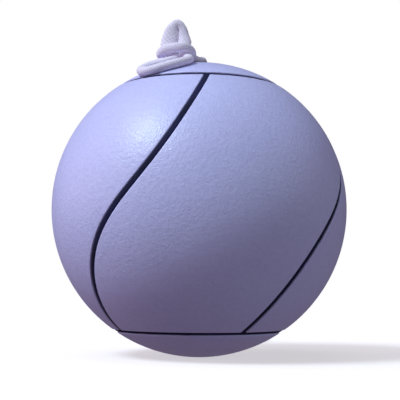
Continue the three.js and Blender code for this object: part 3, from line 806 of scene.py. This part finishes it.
def make_swivel():
    """The ring that the cord is looped through, with its shank and swivel head."""
    rows = []
    for degrees in range(0, 361, 12):
        angle = math.radians(degrees)
        rows.append((9 * math.cos(angle), 0, 9 * math.sin(angle)))
    ring = wire_mesh("swivel_ring", snap_rows(rows, [4] * len(rows), (0, 1, 0)), 32, closed=True)
    shank = [(0, 8.2), (3.2, 8.2), (3.1, 9.8), (2.5, 11.4), (2.1, 12.6), (2.1, 16.3)]
    shank += [(3.3, 16.3), (3.7, 16.7), (3.7, 18.6), (3.3, 19), (0, 19)]
    return combine(ring, snap_rod("shank", shank), "UNION")


def make_snap_body():
    """Barrel, hook arm and nose in one casting, bored for the swivel and bolt and slotted for the stud."""
    barrel = [(0, 13), (4.6, 13), (5.2, 13.3), (5.5, 14), (5.5, 21.4), (5.1, 22.2), (5.1, 23.2)]
    barrel += [(5.5, 24), (5.5, 42.6), (5.2, 43.5), (4.4, 44), (0, 44)]
    body = snap_rod("snap_casting", barrel)
    path = [
        (37, -1.6, 0), (41, -4.2, 0), (45, -7.6, 0), (50, -10.9, 0), (57, -12.4, 0), (63, -11, 0),
        (67, -7, 0), (67.6, -3, 0), (66.4, -0.6, 0),
    ]
    arm = wire_mesh("arm", snap_rows(path, [5.4, 5.2, 4.8, 4.6, 4.6, 4.6, 4.6, 4.6, 4.4]), 32)
    combine(body, arm, "UNION")
    nose = [(0, 60.6), (2.0, 60.6), (2.3, 60.9), (2.3, 66), (1.6, 67.4), (0, 67.9)]
    combine(body, snap_rod("nose", nose), "UNION")
    bores = [
        [(0, 12), (2.6, 12), (2.6, 17), (0, 17)],
        [(0, 16), (4, 16), (4, 22.6), (0, 22.6)],
        [(0, 24.6), (2.6, 24.6), (2.6, 45), (0, 45)],
    ]
    for bore in bores:
        combine(body, snap_rod("bore", bore), "DIFFERENCE")
    slot = stud_slot(snap_rows([(31, 0, 4), (42.6, 0, 4)], [3.2, 3.2]))
    return combine(body, slot, "DIFFERENCE")


def stud_slot(rows):
    """A round-ended cutter, upright in the snap's frame, between two points."""
    start, end = (Vector(r[:3]) for r in rows)
    radius = rows[0][6] / 2
    up, run = snap_frame.to_3x3() @ Vector((0, 0, 1)), (end - start).normalized()
    across = up.cross(run)
    outline = []
    for centre, sign in ((end - run * radius, 1), (start + run * radius, -1)):
        for degrees in range(-90, 91, 15):
            angle = math.radians(degrees)
            outline.append(centre + sign * radius * (math.cos(angle) * run + math.sin(angle) * across))
    count = len(outline)
    points = [p + up * depth * MM for depth in (-4, 4) for p in outline]
    faces = [tuple(range(count - 1, -1, -1)), tuple(range(count, 2 * count))]
    faces += [(k, (k + 1) % count, count + (k + 1) % count, count + k) for k in range(count)]
    piece = mesh_object("slot", [tuple(p) for p in points], faces, smooth=False)
    face_out(piece)
    return piece


def make_bolt():
    """The sliding bolt and its thumb stud."""
    profile = [(0, 36), (1.9, 36), (2.2, 36.3)] + [(2.2, u) for u in np.linspace(38, 58, 12)]
    profile += [(2.2, 59.7), (1.8, 60.2), (0, 60.3)]
    bolt = snap_rod("snap_plunger", profile)
    stud_frame = snap_frame @ Matrix.Translation((41 * MM, 0, 0))
    stud = [(0, 0), (1.2, 0), (1.2, 5.6), (1.7, 6), (2.6, 6.1)]
    stud += arc((2.2, 7.3), 0.7, -20, 60) + [(1.4, 8.3), (0, 8.4)]
    return combine(bolt, lathe("stud", [(r * MM, h * MM) for r, h in stud], 48, stud_frame), "UNION")


def make_spring():
    """The coil spring behind the bolt."""
    turns, start, end = 7, 25.3, 35.3
    points = []
    for k in range(turns * 16 + 1):
        part = k / (turns * 16)
        angle = 2 * math.pi * turns * part
        points.append((start + (end - start) * part, 1.95 * math.cos(angle), 1.95 * math.sin(angle)))
    return wire_mesh("bolt_spring", snap_rows(points, [0.6] * len(points), (1, 0, 0)), 10, 0.25 * MM)


swivel_ring = make_swivel()
snap_casting = make_snap_body()
snap_plunger = make_bolt()
bolt_spring = make_spring()


# ---------------------------------------------------------------- materials

class Surface:
    """A procedural material built round one Principled shader."""

    def __init__(self, name, roughness, metallic=0.0, **settings):
        self.material = bpy.data.materials.new(name)
        self.material.use_nodes = True
        self.tree = self.material.node_tree
        self.shader = self.tree.nodes["Principled BSDF"]
        self.set(Roughness=roughness, Metallic=metallic)
        self.set(**{key.replace("_", " "): value for key, value in settings.items()})
        self.place = self.add("TexCoord").outputs["Object"]

    def set(self, **values):
        for key, value in values.items():
            self.shader.inputs[key].default_value = value

    def add(self, kind, **inputs):
        node = self.tree.nodes.new("ShaderNode" + kind)
        for key, value in inputs.items():
            self.feed(node.inputs[key.replace("_", " ")], value)
        return node

    def feed(self, socket, value):
        if isinstance(value, bpy.types.NodeSocket):
            self.tree.links.new(value, socket)
        else:
            socket.default_value = value

    def noise(self, scale, detail=2.0, roughness=0.5):
        settings = {"Scale": scale, "Detail": detail, "Roughness": roughness}
        return self.add("TexNoise", Vector=self.place, **settings).outputs["Fac"]

    def ramp(self, fac, stops):
        """A colour ramp from (position, colour) pairs."""
        node = self.add("ValToRGB", Fac=fac)
        points = node.color_ramp.elements
        while len(points) < len(stops):
            points.new(0.5)
        for point, (position, colour) in zip(points, stops):
            point.position = position
            point.color = (*colour, 1)
        return node.outputs["Color"]

    def spread(self, value, low, high):
        """A value between 0 and 1, moved to another range."""
        node = self.add("MapRange")
        for number, item in enumerate((value, 0.0, 1.0, low, high)):
            self.feed(node.inputs[number], item)
        return node.outputs[0]

    def math(self, operation, a, b):
        node = self.add("Math")
        node.operation = operation
        self.feed(node.inputs[0], a)
        self.feed(node.inputs[1], b)
        return node.outputs[0]

    def multiply(self, a, b):
        """Two colours multiplied."""
        node = self.add("Mix")
        node.data_type, node.blend_type = "RGBA", "MULTIPLY"
        node.inputs[0].default_value = 1.0
        self.feed(node.inputs[6], a)
        self.feed(node.inputs[7], b)
        return node.outputs[2]

    def bump(self, height, distance, strength=1.0, under=None):
        node = self.add("Bump", Height=height, Distance=distance, Strength=strength)
        if under is not None:
            self.feed(node.inputs["Normal"], under)
        return node.outputs["Normal"]

    def finish(self, colour, normal=None, roughness=None):
        self.feed(self.shader.inputs["Base Color"], colour)
        if normal is not None:
            self.feed(self.shader.inputs["Normal"], normal)
        if roughness is not None:
            self.feed(self.shader.inputs["Roughness"], roughness)
        return self.material


def cover_material():
    """Pale rubberised cover: fine pebble grain, a little unevenness and scuffing."""
    s = Surface("cover", 0.45, Coat_Weight=0.3, Coat_Roughness=0.24, Specular_IOR_Level=0.5)
    cloud = s.ramp(s.noise(16, 3), [(0.3, (0.59, 0.60, 0.94)), (0.7, (0.63, 0.64, 0.99))])
    speck = s.ramp(s.noise(380, 3, 0.6), [(0.3, (0.93, 0.93, 0.95)), (0.6, (1.01, 1.01, 1.01))])
    cells = s.add("TexVoronoi", Vector=s.place, Scale=780.0, Randomness=0.9)
    cells.feature = "SMOOTH_F1"
    pebble = s.bump(cells.outputs["Distance"], 0.00025, 0.6)
    s.feed(s.shader.inputs["Coat Normal"], s.bump(cells.outputs["Distance"], 0.0003, 0.8))
    dimple = s.bump(s.noise(300, 3), 0.0006, 0.45, pebble)
    wave = s.bump(s.noise(28, 1), 0.0012, 0.2, dimple)
    return s.finish(s.multiply(cloud, speck), wave, s.spread(s.noise(60, 3), 0.38, 0.56))


def rubber_material(name, dark, light, roughness, grain=900.0):
    """Black rubber with a fine matte grain and a dusty bloom."""
    s = Surface(name, roughness, Specular_IOR_Level=0.22)
    colour = s.ramp(s.noise(45, 4), [(0.35, dark), (0.75, light)])
    normal = s.bump(s.noise(grain, 3), 0.0003, 0.4)
    return s.finish(colour, normal, s.spread(s.noise(120, 2), roughness - 0.08, roughness + 0.08))


def cord_material():
    """White braided nylon with fine filaments; shade between the strands is painted into its colour."""
    s = Surface("braided_cord", 0.75, Sheen_Weight=0.25, Sheen_Roughness=0.5)
    strand_shade = s.add("Attribute")
    strand_shade.attribute_name = "strand_shade"
    height = strand_shade.outputs["Fac"]
    # Painted shade: the colour darkens where the strands lie low, between them.
    painted_strand_shade = [(0.15, (0.55, 0.50, 0.67)), (0.5, (0.86, 0.79, 0.95)), (0.9, (0.96, 0.91, 0.99))]
    body = s.ramp(height, painted_strand_shade)
    grime = s.ramp(s.noise(110, 3), [(0.3, (0.90, 0.89, 0.90)), (0.65, (1, 1, 1))])
    filament = s.noise(3200, 2, 0.6)
    normal = s.bump(filament, 0.00018, 0.5)
    return s.finish(s.multiply(body, grime), normal, s.spread(filament, 0.65, 0.85))


def steel_material():
    """Nickel-plated steel with faint smears."""
    s = Surface("plated_steel", 0.25, 1.0)
    colour = s.ramp(s.noise(180, 4), [(0.3, (0.74, 0.75, 0.74)), (0.7, (0.86, 0.87, 0.85))])
    normal = s.bump(s.noise(900, 2), 0.00005, 0.3)
    return s.finish(colour, normal, s.spread(s.noise(320, 3), 0.24, 0.42))


def strap_material():
    """Black woven nylon."""
    s = Surface("woven_strap", 0.85, Sheen_Weight=0.2)
    weave = []
    for turn in (0.0, math.pi / 2):
        spin = s.add("Mapping", Vector=s.place, Rotation=(0.3, turn, 0.52 + turn))
        wave = s.add("TexWave", Vector=spin.outputs["Vector"], Scale=620.0, Distortion=0.6, Detail=1.0)
        weave.append(wave.outputs["Fac"])
    height = s.math("MAXIMUM", *weave)
    colour = s.ramp(height, [(0.2, (0.006, 0.006, 0.008)), (0.9, (0.035, 0.035, 0.042))])
    return s.finish(colour, s.bump(height, 0.0003, 0.6))


def winding_material():
    """Nylon thread wound in every direction and cemented."""
    s = Surface("thread_winding", 0.7)
    height = None
    for turn in (0.2, 1.3, 2.3):
        spin = s.add("Mapping", Vector=s.place, Rotation=(turn, 0.7 * turn, turn))
        wave = s.add("TexWave", Vector=spin.outputs["Vector"], Scale=260.0, Distortion=1.5, Detail=1.0)
        fac = wave.outputs["Fac"]
        height = fac if height is None else s.math("MAXIMUM", height, fac)
    colour = s.ramp(height, [(0.4, (0.34, 0.29, 0.2)), (0.95, (0.66, 0.6, 0.46))])
    return s.finish(colour, s.bump(height, 0.0004, 0.5))


cover = cover_material()
carcass_rubber = rubber_material("carcass_rubber", (0.005, 0.006, 0.030), (0.014, 0.014, 0.072), 0.8)
cup_rubber = rubber_material("cup_rubber", (0.012, 0.012, 0.016), (0.030, 0.029, 0.036), 0.5, 700.0)
inner_rubber = rubber_material("butyl", (0.030, 0.026, 0.034), (0.060, 0.054, 0.066), 0.6, 500.0)
braided = cord_material()
steel = steel_material()
woven = strap_material()
thread = winding_material()


# ---------------------------------------------------------------- bodies, CAD nodes and finishes

def settle(piece, body, slot, material, *nodes):
    """Gives a piece its finish, the body that it rides on and the CAD nodes that it stands for."""
    piece.data.materials.clear()
    piece.data.materials.append(material)
    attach(piece, body)
    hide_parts(*nodes)


cord_nodes = ["cord_bundle", "cord_run", "cord_coil", "cord_tail", "end_loop"]
settle(tether_cord, "ball", "cord", braided, *cord_nodes)
settle(tether_loop, "tether_eye", "cord", braided, "tether_eye")
for number, panel in enumerate(side_panels):
    settle(panel, "ball", "panel", cover, f"side_panel_{number + 1}")
settle(top_cap, "ball", "panel", cover, "cap_panel_top")
settle(bottom_cap, "ball", "panel", cover, "cap_panel_bottom")
for piece in [carcass, *ribs]:
    settle(piece, "ball", "carcass_rubber", carcass_rubber, "carcass")
settle(winding, "ball", "winding", thread, "winding_layer")
settle(bladder, "ball", "inner_rubber", inner_rubber, "bladder")
settle(recess_cup, "ball", "cup_rubber", cup_rubber, "tether_cup")
settle(cross_bar, "ball", "steel", steel, "tether_bar")
settle(valve_sleeve, "ball", "inner_rubber", inner_rubber, "valve_boot")
settle(needle_plug, "ball", "carcass_rubber", carcass_rubber, "valve_plug")
settle(strap_1, "ball", "tie", woven, "coil_tie_1")
settle(strap_2, "ball", "tie", woven, "coil_tie_2")
settle(crimp_sleeve, "ball", "steel", steel, "end_ferrule")
settle(swivel_ring, "ball", "steel", steel, "snap_swivel")
settle(snap_casting, "snap", "steel", steel, "snap_body")
settle(snap_plunger, "snap_bolt", "steel", steel, "snap_bolt")
settle(bolt_spring, "snap", "steel", steel, "snap_spring")

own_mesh(bolt_spring)


# ---------------------------------------------------------------- floor and light

def pale_floor():
    """A wide pale floor that glows softly, as a light table does."""
    size = 12
    points = [(-size, -size, 0), (size, -size, 0), (size, size, 0), (-size, size, 0)]
    floor = mesh_object("floor", points, [(0, 1, 2, 3)], smooth=False)
    s = Surface("pale_floor", 0.9)
    s.set(**{"Base Color": (0.66, 0.60, 0.60, 1)})
    s.set(**{"Emission Color": (1, 1, 1, 1), "Emission Strength": 0.52})
    glow = s.add("Emission", Color=(0.98, 0.78, 1.0, 1), Strength=0.16)
    seen = s.add("LightPath").outputs["Is Camera Ray"]
    mix = s.add("MixShader", Fac=seen)
    s.feed(mix.inputs[1], glow.outputs[0])
    s.feed(mix.inputs[2], s.shader.outputs[0])
    s.tree.links.new(mix.outputs[0], s.tree.nodes["Material Output"].inputs["Surface"])
    floor.data.materials.append(s.material)


def sun(name, towards, strength, softness, colour):
    """A wide soft light shining from a direction."""
    light = bpy.data.lights.new(name, "SUN")
    light.energy = strength
    light.angle = math.radians(softness)
    light.color = colour
    lamp = bpy.data.objects.new(name, light)
    lamp.matrix_world = along(Vector(towards))
    bpy.context.scene.collection.objects.link(lamp)


def sky():
    """White behind the object, and a weak even light on it."""
    world = bpy.data.worlds.new("sky")
    bpy.context.scene.world = world
    world.use_nodes = True
    nodes, links = world.node_tree.nodes, world.node_tree.links
    nodes.clear()
    seen = nodes.new("ShaderNodeLightPath").outputs["Is Camera Ray"]
    fill, white = nodes.new("ShaderNodeBackground"), nodes.new("ShaderNodeBackground")
    fill.inputs["Color"].default_value = (0.96, 0.78, 1.0, 1)
    fill.inputs["Strength"].default_value = 0.12
    white.inputs["Color"].default_value = (1, 1, 1, 1)
    white.inputs["Strength"].default_value = 1.0
    mix, output = nodes.new("ShaderNodeMixShader"), nodes.new("ShaderNodeOutputWorld")
    links.new(seen, mix.inputs[0])
    links.new(fill.outputs[0], mix.inputs[1])
    links.new(white.outputs[0], mix.inputs[2])
    links.new(mix.outputs[0], output.inputs["Surface"])


pale_floor()
sun("key", (-0.535, -0.36, 0.764), 2.17, 20, (0.74, 0.925, 1.0))
sun("top", (-0.30, -0.10, 0.95), 0.72, 60, (0.75, 0.80, 1.0))
sun("left", (-0.95, -0.10, 0.15), 1.18, 70, (1.0, 0.76, 0.96))
sun("right", (0.95, -0.10, 0.15), 0.26, 70, (1.0, 0.85, 0.95))
sun("low_right", (0.75, -0.55, 0.05), 0.48, 60, (0.62, 0.90, 1.0))
sky()
bpy.context.scene.view_settings.view_transform = "Standard"
